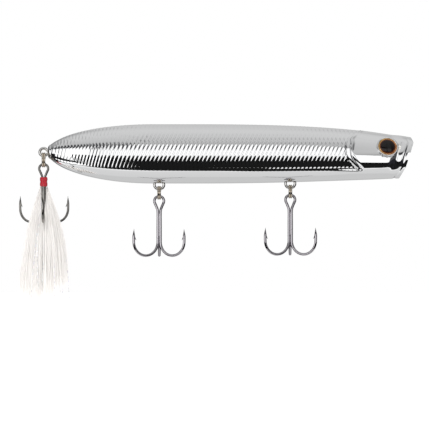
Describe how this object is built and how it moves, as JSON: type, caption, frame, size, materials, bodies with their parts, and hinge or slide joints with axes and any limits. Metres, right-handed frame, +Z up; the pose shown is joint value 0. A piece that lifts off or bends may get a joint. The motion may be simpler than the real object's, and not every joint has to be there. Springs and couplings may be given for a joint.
{
  "type": "topwater popper",
  "caption": "Slim floating surface lure with a cupped slanted mouth, split rings, treble hooks and a feathered tail hook.",
  "frame": {"origin": "centre of the line tie's wire eye, inside the cupped mouth on the lure's middle plane", "axes": "+X towards the nose along the body, +Y towards the lure's left side, +Z up; the treble hooks hang along -Z"},
  "size_m": [0.132, 0.0197, 0.0605],
  "materials": {
    "plated_shell": "polished",
    "eye_foil": "polished",
    "eye_dome": "polished",
    "steel_wire": "polished",
    "weight_steel": "satin",
    "brass_ball": "satin",
    "ball_steel": "polished",
    "nickel_ring": "polished",
    "belly_hook_nickel": "polished",
    "tail_hook_black": "satin",
    "binding_thread": "satin",
    "white_feather": "matte",
    "pearl_flash": "gloss"
  },
  "bodies": {
    "lure_body": {"shell_left": "plated_shell", "shell_right": "plated_shell", "left_eye_foil": "eye_foil", "left_eye_dome": "eye_dome", "right_eye_foil": "eye_foil", "right_eye_dome": "eye_dome", "line_tie": "steel_wire", "front_belly_hanger": "steel_wire", "rear_belly_hanger": "steel_wire", "tail_hanger": "steel_wire", "tail_weight": "weight_steel"},
    "knocker": {"knocker_ball": "brass_ball"},
    "front_rattle": {"front_rattle_ball": "ball_steel"},
    "rear_rattle": {"rear_rattle_ball": "ball_steel"},
    "front_ring": {"front_belly_ring": "nickel_ring"},
    "rear_ring": {"rear_belly_ring": "nickel_ring"},
    "tail_ring_link": {"tail_ring": "nickel_ring"},
    "front_treble": {"front_treble_pair": "belly_hook_nickel", "front_treble_single": "belly_hook_nickel"},
    "rear_treble": {"rear_treble_pair": "belly_hook_nickel", "rear_treble_single": "belly_hook_nickel"},
    "tail_treble": {"tail_treble_pair": "tail_hook_black", "tail_treble_single": "tail_hook_black", "tail_thread_wrap": "binding_thread", "tail_feathers": "white_feather", "tail_flash": "pearl_flash"}
  },
  "joints": [
    {"name": "knocker_slide", "type": "slide", "parent": "lure_body", "child": "knocker", "axis": [1, 0, 0], "range_m": [-0.0145, 0.0145]},
    {"name": "front_rattle_slide", "type": "slide", "parent": "lure_body", "child": "front_rattle", "axis": [1, 0, 0], "range_m": [-0.0084, 0.0084]},
    {"name": "rear_rattle_slide", "type": "slide", "parent": "lure_body", "child": "rear_rattle", "axis": [1, 0, 0], "range_m": [-0.0054, 0.0054]},
    {"name": "front_ring_swing", "type": "hinge", "parent": "lure_body", "child": "front_ring", "pos_m": [-0.0368, 0, -0.00848], "axis": [0, 1, 0], "range_deg": [-62, 62]},
    {"name": "rear_ring_swing", "type": "hinge", "parent": "lure_body", "child": "rear_ring", "pos_m": [-0.0804, 0, -0.0089], "axis": [0, 1, 0], "range_deg": [-62, 62]},
    {"name": "tail_ring_swing", "type": "hinge", "parent": "lure_body", "child": "tail_ring_link", "pos_m": [-0.1188, 0, 0.0019], "axis": [0, 1, 0], "range_deg": [-20, 118]},
    {"name": "front_treble_swing", "type": "hinge", "parent": "front_ring", "child": "front_treble", "pos_m": [-0.0368, 0, -0.0112], "axis": [1, 0, 0], "range_deg": [-80, 80]},
    {"name": "rear_treble_swing", "type": "hinge", "parent": "rear_ring", "child": "rear_treble", "pos_m": [-0.0804, 0, -0.01161], "axis": [1, 0, 0], "range_deg": [-80, 80]},
    {"name": "tail_treble_swing", "type": "hinge", "parent": "tail_ring_link", "child": "tail_treble", "pos_m": [-0.1188, 0, -0.00069], "axis": [1, 0, 0], "range_deg": [-80, 80]}
  ]
}
